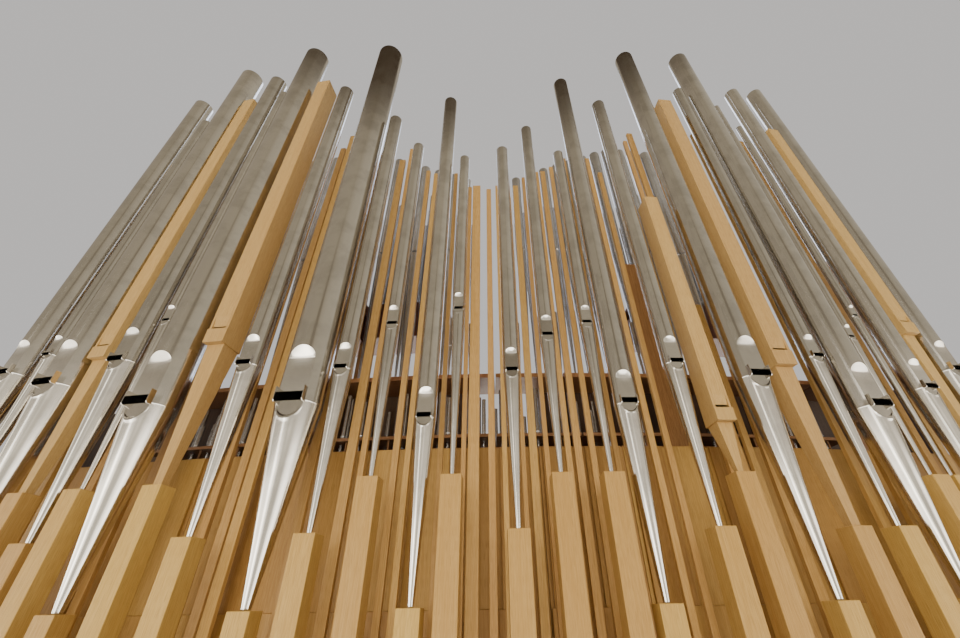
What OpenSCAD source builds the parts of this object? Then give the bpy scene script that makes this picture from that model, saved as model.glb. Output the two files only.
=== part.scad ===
// Pipe organ with free-standing front pipes on square wind posts.
// The front follows a shallow arc that bulges towards the listener (-Y).
// Every piece is placed by its run along that arc and its depth behind the line of the post faces.

/* [Front] */
// Radius of the arc that the post faces stand on
front_radius = 14000; // [13000:100:16000]
// Distance from the line of the post faces forward to the edge of the plinth
plinth_nose = 120; // [90:5:160]
// Distance from the line of the post faces back to the rear of the plinth
case_depth = 1560; // [1540:10:1700]
// Half of the width of the plinth
plinth_half_width = 3240; // [3220:10:3400]
// Height of the plinth
plinth_h = 90; // [60:5:120]

/* [Wind posts] */
// Side of a square wind post
post_w = 100; // [80:1:108]
// Height of the top of a low post above the floor
low_top = 1610; // [1550:5:1700]
// Height of the top of a middle post above the floor
mid_top = 1890; // [1800:5:1950]
// Height of the top of a high post above the floor
high_top = 2125; // [2050:5:2200]

/* [Metal front pipes] */
// Body diameter of a narrow pipe whose body is one metre long
scale_d = 58; // [50:0.5:62]
// How fast the diameter grows with the length of the body
scale_power = 0.65; // [0.6:0.01:0.7]
// Width of the mouth as a share of the body diameter, on a body 100 mm wide
mouth_share = 0.7; // [0.6:0.01:0.76]
// How much narrower that share gets as the body gets wider
mouth_power = 0.12; // [0:0.01:0.2]
// Height of the mouth opening as a share of the mouth width
cutup_share = 0.34; // [0.26:0.01:0.4]
// Height of the flat upper lip as a share of the mouth width
upper_lip_share = 1.62; // [1.2:0.02:2]
// Height of the slope above the flat upper lip as a share of the mouth width
arch_share = 0.48; // [0.3:0.02:0.7]
// Height of the lower lip as a share of the mouth width
lower_lip_share = 0.62; // [0.4:0.02:0.8]
// Diameter of a foot's tip, before a share of the body diameter is added
tip_d = 14; // [8:1:18]
// Share of the body diameter that is added to the tip
tip_share = 0.11; // [0.08:0.01:0.15]
// Thickness of the metal at the lips, the mouth and the open top
metal_t = 3; // [2:0.5:4]
// Smallest body diameter that has ears beside its mouth
ear_from_d = 88; // [60:1:150]

/* [Wooden pipes] */
// Depth of a wooden pipe's body as a share of its width
wood_depth_share = 1.3; // [1.1:0.05:1.5]
// Thickness of the boards of a wooden pipe
wood_t = 12; // [8:1:16]
// How far the foot's front is set back from the front of the body
foot_set_back = 28; // [16:1:34]
// How much narrower the top of the foot is than the body, on each side
foot_step = 8; // [4:1:12]
// How far the cap block stands out in front of the body
cap_proud = 6; // [3:1:12]
// How far the cap block stands out on each side of the body
cap_side = 2.5; // [1:0.5:5]
// Width of the mouth slit as a share of the body's width
wood_mouth_share = 0.74; // [0.6:0.02:0.78]
// Height of the mouth slit above the cap block
wood_slit = 18; // [12:1:24]
// Thickness of the upper lip's edge on a wooden pipe, under the slope of its front board
wood_lip = 3.5; // [3:0.5:6]
// Side of the square end of a long wooden foot
wood_tip = 44; // [34:1:60]
// Side of the square end of a short wooden foot
short_wood_tip = 28; // [24:1:40]

/* [Case wall] */
// Depth of the face of the backing wall behind the post faces
wall_depth = 400; // [360:5:430]
// Thickness of the backing wall
wall_t = 24; // [18:1:30]
// Height of the top of the wall above the floor
wall_top = 2365; // [2340:5:2420]
// Height at which the lower panels end and the upper boards begin
panel_split = 1600; // [1500:5:1700]
// How far the lower panels stand out from the backing wall
lower_proud = 28; // [20:1:34]
// How far the upper boards stand out from the backing wall
upper_proud = 18; // [12:1:24]
// Number of flat facets of the wall along the arc
wall_facets = 13; // [11:1:15]
// Gap between two lower panels
panel_gap = 8; // [4:1:12]
// Gap between two upper boards
board_gap = 38; // [20:1:60]
// Thickness of the side and back panels
case_t = 30; // [24:1:36]

/* [Slats] */
// Depth of the face of the slats behind the post faces
slat_depth = 250; // [200:5:280]
// Thickness of a slat
slat_t = 28; // [20:1:36]
// Height of the slat tops at the middle of the front
slat_top_mid = 4500; // [4200:50:4700]
// How much the slat tops rise from the middle to slat_rise_run
slat_rise = 870; // [600:10:1000]
// Run along the front over which the tops rise
slat_rise_run = 1330; // [1200:10:1500]

/* [Inside] */
// Height of the top of the lower windchest
chest_top = 2240; // [2200:5:2280]
// Height of the lower windchest
chest_h = 160; // [120:5:200]
// Depth of the front of the lower windchest behind the post faces
chest_front = 620; // [600:5:630]
// Height of the lower rack board above the lower windchest
rack_rise = 274; // [250:2:290]
// Thickness of the rack boards
rack_t = 20; // [14:1:24]
// Room between a pipe foot and its rack hole
rack_clear = 1.5; // [1:0.5:3]
// Height of the top of the raised pipe plank
plank_top = 3000; // [2980:5:3040]
// Thickness of the raised pipe plank
plank_t = 32; // [24:1:40]
// Depth of the front edge of the raised plank behind the post faces
plank_front = 700; // [695:5:720]
// Depth of the rear edge of the raised plank behind the post faces
plank_back = 990; // [980:5:1010]
// Thickness of the screens under the raised plank
screen_t = 19; // [15:1:24]
// Width of a stile of the inner frame
stile_w = 193; // [160:1:200]
// Thickness of a stile of the inner frame
stile_t = 54; // [40:1:56]
// Height of the tops of the stiles
stile_top = 4015; // [3900:5:4100]
// Side of a rear upright
upright_w = 80; // [60:1:90]
// Height of the underside of the upper windchests
upper_z = 3593; // [3560:1:3620]
// Height of an upper windchest
upper_chest_h = 217; // [190:1:240]
// Depth of the front of the upper windchests behind the post faces
upper_front = 1100; // [1080:5:1110]
// Depth of the rear of the upper windchests behind the post faces
upper_back = 1400; // [1380:5:1440]
// Thickness of the toe boards on the upper windchests
toe_board_t = 39; // [30:1:45]
// Height of the upper rack boards' tops above the toe boards
upper_rack_rise = 122; // [100:1:150]
// Diameter of the smallest inner pipes
inner_d = 24; // [20:1:28]

/* [Hidden] */
$fn = 64;

wood_light = "burlywood";
wood_dark = "peru";
tin = "silver";

LOW = 0;
MID = 1;
HIGH = 2;
post_top = [low_top, mid_top, high_top];
narrow = 1;
medium = 1.285;
wide = 1.7;

// One row for each metal pipe of the front: run, post level, foot length, body length, width class
bass_1 = [-2665, LOW, 1130, 3755, 1.58];
bass_2 = [-1925, LOW, 935, 4125, wide * 0.96];
bass_3 = [-1055, LOW, 895, 3970, wide];
bass_4 = [690, LOW, 860, 3320, narrow];
bass_5 = [1440, LOW, 1020, 3760, medium];
bass_6 = [2075, LOW, 865, 4030, medium];
outer_left = [[-3120, MID, 985, 3225, 1.37], [-2905, HIGH, 875, 2700, narrow * 0.85],
    [-2268, MID, 975, 3385, 1.25]];
left = [[-2120, HIGH, 1030, 2825, 0.66], [-1420, MID, 878, 3055, 1.1], [-850, MID, 822, 2515, narrow]];
centre_left = [[-605, HIGH, 870, 1805, narrow], [-363, LOW, 800, 3065, narrow * 0.92],
    [-213, HIGH, 966, 1515, narrow]];
centre_right = [[93, MID, 780, 2035, narrow], [308, HIGH, 768, 2110, narrow * 0.92],
    [551, HIGH, 856, 1680, narrow * 0.95]];
right = [[1007, MID, 825, 2720, narrow], [1890, MID, 903, 3030, 0.8], [2232, HIGH, 836, 2655, 0.5]];
outer_right = [[2358, HIGH, 1015, 2155, 0.52], [2520, LOW, 1007, 3330, narrow],
    [2815, MID, 864, 3270, 1.1]];
metal_rows = concat([bass_1, bass_2, bass_3, bass_4, bass_5, bass_6],
    outer_left, left, centre_left, centre_right, right, outer_right);

// One row for each wooden pipe: run, post level, foot length, body length, width, cap height, tip
wood_left = [[-2462, HIGH, 785, 3000, 116, 80, wood_tip], [-1678, HIGH, 810, 3090, 126, 95, wood_tip]];
wood_middle = [1186, HIGH, 255, 1735, 98, 69, short_wood_tip];
wood_right = [[1655, MID, 825, 2830, 122, 92, wood_tip], [2672, HIGH, 880, 2275, 100, 81, wood_tip]];
wood_rows = concat(wood_left, [wood_middle], wood_right);

// Run, width, and how far the top stands above the general line of the slat tops
slats_far_left = [[-2900, 40, 0], [-2689, 40, 0], [-2340, 45, 0], [-2085, 48, 0], [-1954, 55, 0],
    [-1528, 42, 0]];
slats_near_left = [[-1419, 48, -250], [-1355, 55, 0], [-1022, 48, 0], [-808, 53, 45], [-737, 32, 260],
    [-555, 35, 45], [-487, 32, 40], [-308, 28, 120], [-180, 26, -20], [-125, 62, 10]];
slats_near_right = [[-24, 37, -20], [47, 27, 20], [148, 24, -150], [204, 42, -20], [277, 26, 60],
    [397, 32, 80], [452, 40, 60], [532, 32, 80], [662, 28, 120], [877, 36, -30], [964, 34, -300]];
slats_far_right = [[1294, 34, -110], [1362, 52, -50], [1436, 36, -2150], [1535, 50, 0], [2058, 52, 0],
    [2240, 40, 0], [2590, 44, 0], [2724, 40, 0], [2930, 40, 0]];

axis_depth = post_w / 2;
centre_y = (case_depth - plinth_nose) / 2;
plinth_edge = 60;
side_x = plinth_half_width - plinth_edge;
// The outermost post stands this far inside the side of the case, and all runs follow it
outer_clear = 10;
outer_run = max([for (row = metal_rows) abs(row[0])]);
joint = 1;
wall_half_run = front_radius * asin((side_x - case_t) / (front_radius - wall_depth)) * PI / 180;

function mouth_w(d) = mouth_share * d * pow(100 / d, mouth_power);
function tip_r(r) = tip_d / 2 + tip_share * r;
function body_d(row) = row[4] * scale_d * pow(row[3] / 1000, scale_power);
function slat_top(run) =
    slat_top_mid + slat_rise * pow(min(abs(run), slat_rise_run * 1.06) / slat_rise_run, 1.6);
function turn(run) = run / front_radius * 180 / PI;
function placed(run) = run * (side_x - post_w / 2 - outer_clear) / outer_run;

// Puts a child on the arc, with its own Y axis running back from the front
module on_front(run, depth = 0) {
    translate([0, front_radius - centre_y, 0])
        rotate([0, 0, turn(run)])
            translate([0, depth - front_radius, 0])
                children();
}

// Points on the arc at one depth, at equal runs on both sides of a middle run
function arc_points(run, width, depth, facets) = [for (i = [0:facets])
    let (a = turn(run + width * (i / facets - 0.5)))
        [(front_radius - depth) * sin(a), front_radius - centre_y - (front_radius - depth) * cos(a)]];

// A row of straight boards along the arc, between two runs, two depths and two heights
module board_row(run_0, run_1, count, depth_0, depth_1, z_0, z_1) {
    step = (run_1 - run_0) / count;
    width = step * (front_radius - depth_1) / front_radius - joint;
    for (i = [0:count - 1])
        on_front(run_0 + (i + 0.5) * step, depth_0)
            translate([-width / 2, 0, z_0]) cube([width, depth_1 - depth_0, z_1 - z_0]);
}

// A straight block of the case: centre across, width, two depths and two heights
module block(x, width, depth_0, depth_1, z_0, z_1) {
    translate([x - width / 2, depth_0 - centre_y, z_0])
        cube([width, depth_1 - depth_0, z_1 - z_0]);
}

// Side profile of the metal pressed in at a mouth, from the lower lip to the top of the arch
module lip_cut(r, w, foot) {
    flat = sqrt(r * r - w * w / 4);
    low = lower_lip_share * w;
    cone = r - (r - tip_r(r)) * low / foot;
    rise = upper_lip_share * w;
    out = r + 2;
    rotate([90, 0, 90])
        linear_extrude(2 * r, center = true)
            polygon([[-out, -low * (out - flat) / (cone - flat)], [-flat, 0], [-flat, rise],
                [-out, rise + arch_share * w * (out - flat) / (r - flat)]]);
}

// A metal flue pipe that stands on its foot's tip: conical foot, pressed lips, mouth and plain open body
module flue_pipe(d, foot, body, ears) {
    r = d / 2;
    w = mouth_w(d);
    flat = sqrt(r * r - w * w / 4);
    cutup = cutup_share * w;
    chamber = cutup + w;
    bore = r - metal_t;
    difference() {
        union() {
            cylinder(h = foot, r1 = tip_r(r), r2 = r);
            translate([0, 0, foot]) cylinder(h = body, r = r);
        }
        translate([0, 0, foot]) lip_cut(r, w, foot);
        // The hollow behind the upper lip, down to the languid
        translate([0, 0, foot])
            intersection() {
                cylinder(h = chamber, r = bore);
                translate([-r, metal_t - flat, -1]) cube([d, 2 * r, chamber + 2]);
            }
        // The mouth opening between the lips
        translate([-w / 2 + metal_t, -2 * r, foot])
            cube([w - 2 * metal_t, 2 * r - flat + 2 * metal_t, cutup]);
        // The open top
        translate([0, 0, foot + body - d]) cylinder(h = d + 1, r = bore);
    }
    if (ears) {
        ear_h = 0.5 * w;
        ear_out = 0.16 * w;
        for (side = [-1, 1])
            translate([side * w / 2 - metal_t / 2, -flat - ear_out, foot - 0.12 * w])
                cube([metal_t, ear_out + 2 * metal_t, ear_h]);
    }
}

module front_pipe(row) {
    d = body_d(row);
    on_front(placed(row[0]), axis_depth)
        translate([0, 0, post_top[row[1]]])
            color(tin) flue_pipe(d, row[2], row[3], d >= ear_from_d);
}

// A stopped wooden pipe: square body of boards, cap block with the mouth slit above it, pyramid foot
module wooden_pipe(row) {
    w = row[4];
    depth = w * wood_depth_share;
    foot = row[2];
    body = row[3];
    cap = row[5];
    tip = row[6];
    front = -tip / 2 - foot_set_back;
    foot_w = w - 2 * foot_step;
    foot_depth = depth - foot_set_back - foot_step;
    mouth = wood_mouth_share * w;
    on_front(placed(row[0]), axis_depth)
        translate([0, 0, post_top[row[1]]])
            color(wood_light) {
                // The foot tapers on both sides and at its back; its front is upright
                intersection() {
                    rotate([90, 0, 0])
                        linear_extrude(4 * depth, center = true)
                            polygon([[-tip / 2, 0], [tip / 2, 0], [foot_w / 2, foot], [-foot_w / 2, foot]]);
                    rotate([90, 0, 90])
                        linear_extrude(2 * w, center = true)
                            polygon([[-tip / 2, 0], [tip / 2, 0], [foot_depth - tip / 2, foot],
                                [-tip / 2, foot]]);
                }
                translate([0, 0, foot])
                    difference() {
                        union() {
                            translate([-w / 2, front, 0]) cube([w, depth, body]);
                            translate([-w / 2 - cap_side, front - cap_proud, 0])
                                cube([w + 2 * cap_side, cap_proud + 2 * wood_t, cap]);
                        }
                        // The mouth slit and the slope of the front board above it
                        translate([-mouth / 2, front - cap_proud - 1, cap])
                            cube([mouth, cap_proud + wood_t + 2, wood_slit]);
                        translate([0, front, cap + wood_slit])
                            rotate([90, 0, 90])
                                linear_extrude(mouth, center = true)
                                    polygon([[-1, -1], [wood_t - wood_lip, -1],
                                        [wood_t - wood_lip, 0], [-1, mouth]]);
                        // The hollows behind the mouth and under the open top
                        translate([-w / 2 + wood_t, front + wood_t, cap])
                            cube([w - 2 * wood_t, depth - 2 * wood_t, w]);
                        translate([-w / 2 + wood_t, front + wood_t, body - w])
                            cube([w - 2 * wood_t, depth - 2 * wood_t, w + 1]);
                    }
            }
}

module post_row(level) {
    color(wood_light)
        for (row = concat(metal_rows, wood_rows))
            if (row[1] == level)
                on_front(placed(row[0]), 0)
                    translate([-post_w / 2, 0, plinth_h])
                        cube([post_w, post_w, post_top[level] - plinth_h]);
}

module slat_set(rows) {
    color(wood_light)
        for (row = rows)
            on_front(placed(row[0]), slat_depth)
                translate([-row[1] / 2, 0, plinth_h])
                    cube([row[1], slat_t, slat_top(row[0]) + row[2] - plinth_h]);
}

module plinth() {
    color(wood_dark)
        linear_extrude(plinth_h)
            intersection() {
                translate([0, front_radius - centre_y]) circle(front_radius + plinth_nose, $fn = 3600);
                translate([-plinth_half_width, -centre_y - 2 * plinth_nose])
                    square([2 * plinth_half_width, case_depth + 2 * plinth_nose]);
            }
}

module low_posts() post_row(LOW);
module middle_posts() post_row(MID);
module high_posts() post_row(HIGH);

module pipe_set(rows) {
    for (row = rows) front_pipe(row);
}

// Panelled wall behind the posts, in flat facets
facet_run = 2 * wall_half_run / wall_facets;
facet_w = 2 * (front_radius - wall_depth) * sin(turn(facet_run / 2));
facet_sag = (front_radius - wall_depth) * (1 - cos(turn(facet_run / 2)));
rail_t = 45;
rail_h = 85;
rail_proud = 15;

// A flat board on one wall facet: place across it, width, how far it runs behind the face, two heights
module facet_board(i, across, width, y_0, y_1, z_0, z_1) {
    on_front((i - (wall_facets - 1) / 2) * facet_run, wall_depth + facet_sag)
        translate([across - width / 2, y_0, z_0])
            cube([width, y_1 - y_0, z_1 - z_0]);
}

module wall_backing() {
    color(wood_dark)
        for (i = [0:wall_facets - 1])
            facet_board(i, 0, facet_w - 2 * joint, 0, wall_t, plinth_h, wall_top);
}

module lower_panels() {
    color(wood_dark)
        for (i = [0:wall_facets - 1])
            facet_board(i, 0, facet_w - panel_gap, -lower_proud, 0, plinth_h, panel_split);
}

module upper_boards() {
    color(wood_dark)
        for (i = [0:wall_facets - 1])
            for (side = [-1, 1])
                facet_board(i, side * facet_w / 4, facet_w / 2 - board_gap, -upper_proud, 0,
                    panel_split, wall_top);
}

module top_rail() {
    color(wood_dark)
        for (i = [0:wall_facets - 1])
            facet_board(i, 0, facet_w - 6 * joint, wall_t, wall_t + rail_t,
                wall_top + rail_proud - rail_h, wall_top + rail_proud);
}

module side_panel(side) {
    color(wood_dark)
        block(side * (side_x - case_t / 2), case_t, side_front_depth(), case_depth - case_t,
            plinth_h, wall_top);
}

// Depth of the backing wall's face where it meets a side panel
function side_front_depth() =
    front_radius - sqrt(pow(front_radius - wall_depth, 2) - pow(side_x - case_t, 2));

module back_panel() {
    color(wood_dark)
        block(0, 2 * side_x, case_depth - case_t, case_depth, plinth_h, wall_top);
}

chest_half = side_x - case_t;
chest_back = case_depth - case_t;
chest_run = front_radius * asin(chest_half / (front_radius - chest_front)) * PI / 180;

// The chest follows the wall at its front and is straight at its back
module lower_windchest() {
    color(wood_light)
        translate([0, 0, chest_top - chest_h])
            linear_extrude(chest_h)
                polygon(concat(arc_points(0, 2 * chest_run, chest_front, 2 * wall_facets),
                    [[chest_half, chest_back - centre_y], [-chest_half, chest_back - centre_y]]));
}

// Inner frame: wide stiles in front, square uprights behind, screens that carry the raised plank
stile_depth = chest_front + 20;
stile_run = [1278, 2640];
frame_end = stile_run[1] + 440;
screen_gap = [-130, 330];
plank_boards = 12;
screen_boards = 6;
side_screen_front = 1010;
side_screen_gap = 20;
upper_chests = [[-2100, -458], [1400, 2700]];
upper_boards_each = 2;
upright_places = [0.06, 0.5, 0.94];
upright_inset = 60;

module inner_frame() {
    color(wood_dark) {
        for (side = [-1, 1])
            for (run = stile_run)
                on_front(side * placed(run), stile_depth)
                    translate([-stile_w / 2, 0, chest_top])
                        cube([stile_w, stile_t, stile_top - chest_top]);
        for (span = upper_chests)
            for (place = upright_places)
                on_front(placed(span[0] + place * (span[1] - span[0])), upper_front + upright_inset)
                    translate([-upright_w / 2, 0, chest_top])
                        cube([upright_w, upright_w, upper_z - chest_top]);
    }
}

module inner_screens() {
    color(wood_dark) {
        board_row(placed(-frame_end), placed(screen_gap[0]), screen_boards, plank_back - screen_t,
            plank_back, chest_top, plank_top - plank_t);
        board_row(placed(screen_gap[1]), placed(frame_end), screen_boards, plank_back - screen_t,
            plank_back, chest_top, plank_top - plank_t);
        for (side = [-1, 1])
            block(side * (chest_half - side_screen_gap), screen_t, side_screen_front,
                chest_back - side_screen_gap, chest_top, plank_top - plank_t);
    }
}

module raised_plank() {
    color(wood_dark)
        board_row(placed(-frame_end), placed(frame_end), plank_boards, plank_front, plank_back,
            plank_top - plank_t, plank_top);
}

// Small inner pipes: a plain foot, one mouth and an open body
inner_tip_share = 0.22;
inner_metal_t = 2;
module inner_pipe(d, foot, body) {
    r = d / 2;
    w = mouth_share * d;
    difference() {
        union() {
            cylinder(h = foot, r1 = inner_tip_share * r, r2 = r, $fn = 24);
            translate([0, 0, foot]) cylinder(h = body, r = r, $fn = 24);
        }
        translate([-r, -2 * r, foot]) cube([d, 1.5 * r, 0.3 * w]);
        translate([0, 0, foot + body - d]) cylinder(h = d + 1, r = r - inner_metal_t, $fn = 24);
    }
}

// Radius of the hole that a rack board needs for a foot, at a height above the toe
function hole_r(d, foot, z) = d / 2 * (inner_tip_share + (1 - inner_tip_share) * z / foot) + rack_clear;

// The cut for one foot through a rack board with its underside at z
module rack_hole(z, d, foot, height) {
    translate([0, 0, z - 1]) cylinder(h = rack_t + 2, r = hole_r(d, foot, height), $fn = 24);
}

// Small pipes on the lower chest: three staggered rows whose lengths rise and fall along the front
small_pitch = 42;
small_count = 119;
small_first_row = 105;
small_row_gap = 70;
small_rows = [for (i = [0:2]) chest_front + small_first_row + i * small_row_gap];
small_foot = rack_rise + rack_t + 36;
function small_run(i) = placed((i - (small_count - 1) / 2) * small_pitch);
function small_depth(i) = small_rows[i % 3];
function small_d(i) = inner_d + inner_d / 3 * abs(sin(i * 47));
function small_body(i) = inner_d * (5 + 9 * abs(sin(i * 31)));

// No small pipe stands behind an inner stile
small_places = [for (i = [0:small_count - 1])
    if (abs(abs(small_run(i)) - placed(stile_run[0])) > stile_w / 2 + small_pitch) i];

module small_pipes() {
    color(tin)
        for (i = small_places)
            on_front(small_run(i), small_depth(i))
                translate([0, 0, chest_top]) inner_pipe(small_d(i), small_foot, small_body(i));
}

rack_z = chest_top + rack_rise;
rack_front = stile_depth - 5;
rack_back = small_rows[2] + 40;
rack_side_gap = 8;
rack_inner = stile_run[0] - stile_w / 2 - rack_side_gap;
rack_spans = [[-stile_run[1] + stile_w / 2 + rack_side_gap, -rack_inner - stile_w - 2 * rack_side_gap, 2],
    [-rack_inner, rack_inner, 4], [rack_inner + stile_w + 2 * rack_side_gap,
    stile_run[1] - stile_w / 2 - rack_side_gap, 2]];
pin_d = 12;

module lower_rack_board() {
    color(wood_light)
        difference() {
            for (span = rack_spans)
                board_row(placed(span[0]), placed(span[1]), span[2], rack_front, rack_back,
                    rack_z, rack_z + rack_t);
            for (i = small_places)
                on_front(small_run(i), small_depth(i))
                    rack_hole(rack_z, small_d(i), small_foot, rack_rise + rack_t);
        }
}

module rack_pins() {
    color(wood_dark)
        for (span = rack_spans)
            for (i = [0.25:0.5:span[2] - 0.25])
                on_front(placed(span[0] + (span[1] - span[0]) * i / span[2]), rack_front + 2 * pin_d)
                    translate([0, 0, chest_top]) cylinder(h = rack_rise, d = pin_d);
}

// Three rows on the raised plank: run of the first pipe, pitch, depth, number, foot, and two rules
rank_pitch = 160;
rank_count = 15;
rank_start = 275;
rank_row_gap = 115;
short_depth = plank_front + 27;
short_foot = 250;
tall_depth = plank_front + 110;
tall_foot = 1290;
tall_first_body = 1030;
tall_step = 80;
middle_depth = tall_depth + rank_row_gap;
middle_foot = 1050;
function rank_run(i) = rank_start + i * rank_pitch;
function tall_d(i) = inner_d * (3.7 + 0.12 * min(i, 7));
function tall_body(i) = tall_first_body + tall_step * min(i, 7);
function middle_d(i) = inner_d * (2.2 + 0.5 * abs(sin(i * 61)));
function middle_body(i) = 720 + 260 * abs(sin(i * 37));
function short_d(i) = inner_d * (1.1 + 0.25 * abs(sin(i * 43)));
function short_body(i) = 200 + 120 * abs(sin(i * 29));

module rank_pipe(side, run, depth, d, foot, body) {
    on_front(side * placed(run), depth)
        translate([0, 0, plank_top]) inner_pipe(d, foot, body);
}

module second_rank(side) {
    color(tin)
        for (i = [0:rank_count - 1]) {
            rank_pipe(side, rank_run(i), tall_depth, tall_d(i), tall_foot, tall_body(i));
            between = rank_run(i) - rank_pitch / 2;
            rank_pipe(side, between, middle_depth, middle_d(i), middle_foot, middle_body(i));
            rank_pipe(side, between, short_depth, short_d(i), short_foot, short_body(i));
        }
}

// Upper chests at both sides: chest, toe board, rack board with a front board, and two rows of pipes
upper_pitch = 130;
upper_inset = 70;
upper_rows = [upper_front + 70, upper_front + 200];
upper_foot = upper_rack_rise + 74;
toe_proud = 12;
fascia_t = 14;
upper_chest_top = upper_z + upper_chest_h;
toe_top = upper_chest_top + toe_board_t;
function upper_count(span) = floor((span[1] - span[0] - 2 * upper_inset) / upper_pitch) + 1;
function upper_run(span, i, row) = span[0] + upper_inset + (i + 0.3 * row) * upper_pitch;
function upper_d(i, row) = inner_d * (row == 0 ? 3.1 : 2.3) + 6 * abs(sin(i * 53));
function upper_body(i, row) = (row == 0 ? 1250 : 1000) + 320 * abs(sin(i * 23));

module upper_windchest(span) {
    color(wood_dark) {
        board_row(placed(span[0]), placed(span[1]), upper_boards_each, upper_front, upper_back,
            upper_z, upper_chest_top);
        board_row(placed(span[0]), placed(span[1]), upper_boards_each, upper_front - toe_proud,
            upper_back, upper_chest_top, toe_top);
    }
}

module upper_rack(span) {
    top = toe_top + upper_rack_rise;
    color(wood_dark) {
        difference() {
            board_row(placed(span[0]), placed(span[1]), upper_boards_each, upper_front,
                upper_back, top - rack_t, top);
            for (row = [0, 1])
                for (i = [0:upper_count(span) - 1])
                    on_front(placed(upper_run(span, i, row)), upper_rows[row])
                        rack_hole(top - rack_t, upper_d(i, row), upper_foot, upper_rack_rise);
        }
        board_row(placed(span[0]), placed(span[1]), upper_boards_each, upper_front, upper_front + fascia_t,
            toe_top, top - rack_t);
        board_row(placed(span[0]), placed(span[1]), upper_boards_each, upper_back - fascia_t,
            upper_back, toe_top, top - rack_t);
    }
}

module upper_rank(span) {
    color(tin)
        for (row = [0, 1])
            for (i = [0:upper_count(span) - 1])
                on_front(placed(upper_run(span, i, row)), upper_rows[row])
                    translate([0, 0, toe_top]) inner_pipe(upper_d(i, row), upper_foot, upper_body(i, row));
}

plinth();
low_posts();
middle_posts();
high_posts();
front_pipe(bass_1);  // bass_pipe_1
front_pipe(bass_2);  // bass_pipe_2
front_pipe(bass_3);  // bass_pipe_3
front_pipe(bass_4);  // bass_pipe_4
front_pipe(bass_5);  // bass_pipe_5
front_pipe(bass_6);  // bass_pipe_6
pipe_set(outer_left);  // outer_left_pipes
pipe_set(left);  // left_pipes
pipe_set(centre_left);  // centre_left_pipes
pipe_set(centre_right);  // centre_right_pipes
pipe_set(right);  // right_pipes
pipe_set(outer_right);  // outer_right_pipes
for (row = wood_left) wooden_pipe(row);  // wooden_pipes_left
wooden_pipe(wood_middle);  // wooden_pipe_middle
for (row = wood_right) wooden_pipe(row);  // wooden_pipes_right
wall_backing();
lower_panels();
upper_boards();
top_rail();
side_panel(-1);  // side_panel_left
side_panel(1);  // side_panel_right
back_panel();
slat_set(slats_far_left);  // slats_outer_left
slat_set(slats_near_left);  // slats_left
slat_set(slats_near_right);  // slats_right
slat_set(slats_far_right);  // slats_outer_right
lower_windchest();
lower_rack_board();
rack_pins();
second_rank(-1);  // second_rank_left
second_rank(1);  // second_rank_right
small_pipes();
inner_frame();
inner_screens();
raised_plank();
upper_windchest(upper_chests[0]);  // upper_windchest_left
upper_windchest(upper_chests[1]);  // upper_windchest_right
upper_rack(upper_chests[0]);  // upper_rack_left
upper_rack(upper_chests[1]);  // upper_rack_right
upper_rank(upper_chests[0]);  // upper_rank_left
upper_rank(upper_chests[1]);  // upper_rank_right
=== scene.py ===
import math

import bmesh
import bpy
import numpy as np
from mathutils import Matrix, Vector


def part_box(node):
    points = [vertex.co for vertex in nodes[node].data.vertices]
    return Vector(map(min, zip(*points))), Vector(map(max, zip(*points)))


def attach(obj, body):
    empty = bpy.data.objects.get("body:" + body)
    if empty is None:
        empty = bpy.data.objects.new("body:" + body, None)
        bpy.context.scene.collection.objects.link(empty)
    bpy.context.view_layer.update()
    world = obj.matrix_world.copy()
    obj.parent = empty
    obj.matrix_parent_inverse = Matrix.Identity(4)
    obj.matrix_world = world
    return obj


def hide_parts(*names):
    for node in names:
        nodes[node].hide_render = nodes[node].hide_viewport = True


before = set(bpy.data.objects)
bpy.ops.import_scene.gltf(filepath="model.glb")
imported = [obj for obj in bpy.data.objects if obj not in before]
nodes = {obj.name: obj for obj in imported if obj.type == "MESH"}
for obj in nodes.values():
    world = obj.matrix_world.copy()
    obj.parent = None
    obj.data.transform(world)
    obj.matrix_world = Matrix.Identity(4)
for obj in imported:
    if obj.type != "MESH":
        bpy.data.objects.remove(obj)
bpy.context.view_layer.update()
scene = bpy.context.scene

# Wind posts
# Square posts of pale, oiled maple, planed smooth with their edges eased by hand.
# They stand on the plinth in three heights and carry the wind up to the toes of the front pipes.
ARC_CENTRE = Vector((0.0, 13.28, 0.0))
ARC_RADIUS = 14.0
POST_EDGE = 0.003
POST_SEED = 11
ROUNDED = 5
SHORTEST_SIDE = 0.005


def solids(name):
    """The separate solids of a CAD node, each as an array of its corner points."""
    mesh = nodes[name].data
    points = np.empty(len(mesh.vertices) * 3)
    mesh.vertices.foreach_get("co", points)
    points = points.reshape(-1, 3)
    ends = np.empty(len(mesh.edges) * 2, dtype=np.int32)
    mesh.edges.foreach_get("vertices", ends)
    welded, index = np.unique(np.round(points, ROUNDED), axis=0, return_inverse=True)
    ends = index.reshape(-1)[ends].reshape(-1, 2)
    label = np.arange(len(welded))
    while True:
        low = np.minimum(label[ends[:, 0]], label[ends[:, 1]])
        lower = label.copy()
        np.minimum.at(lower, ends[:, 0], low)
        np.minimum.at(lower, ends[:, 1], low)
        lower = lower[lower]
        if (lower == label).all():
            break
        label = lower
    groups = [welded[label == value] for value in np.unique(label)]
    return sorted(groups, key=lambda group: group[:, 0].mean())


def on_arc(turn, across, depth, z):
    """A point across the front, behind the post faces and above the floor, at a turn round the arc."""
    back = depth - ARC_RADIUS
    return (
        ARC_CENTRE.x + math.cos(turn) * across - math.sin(turn) * back,
        ARC_CENTRE.y + math.sin(turn) * across + math.cos(turn) * back,
        z,
    )


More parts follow.
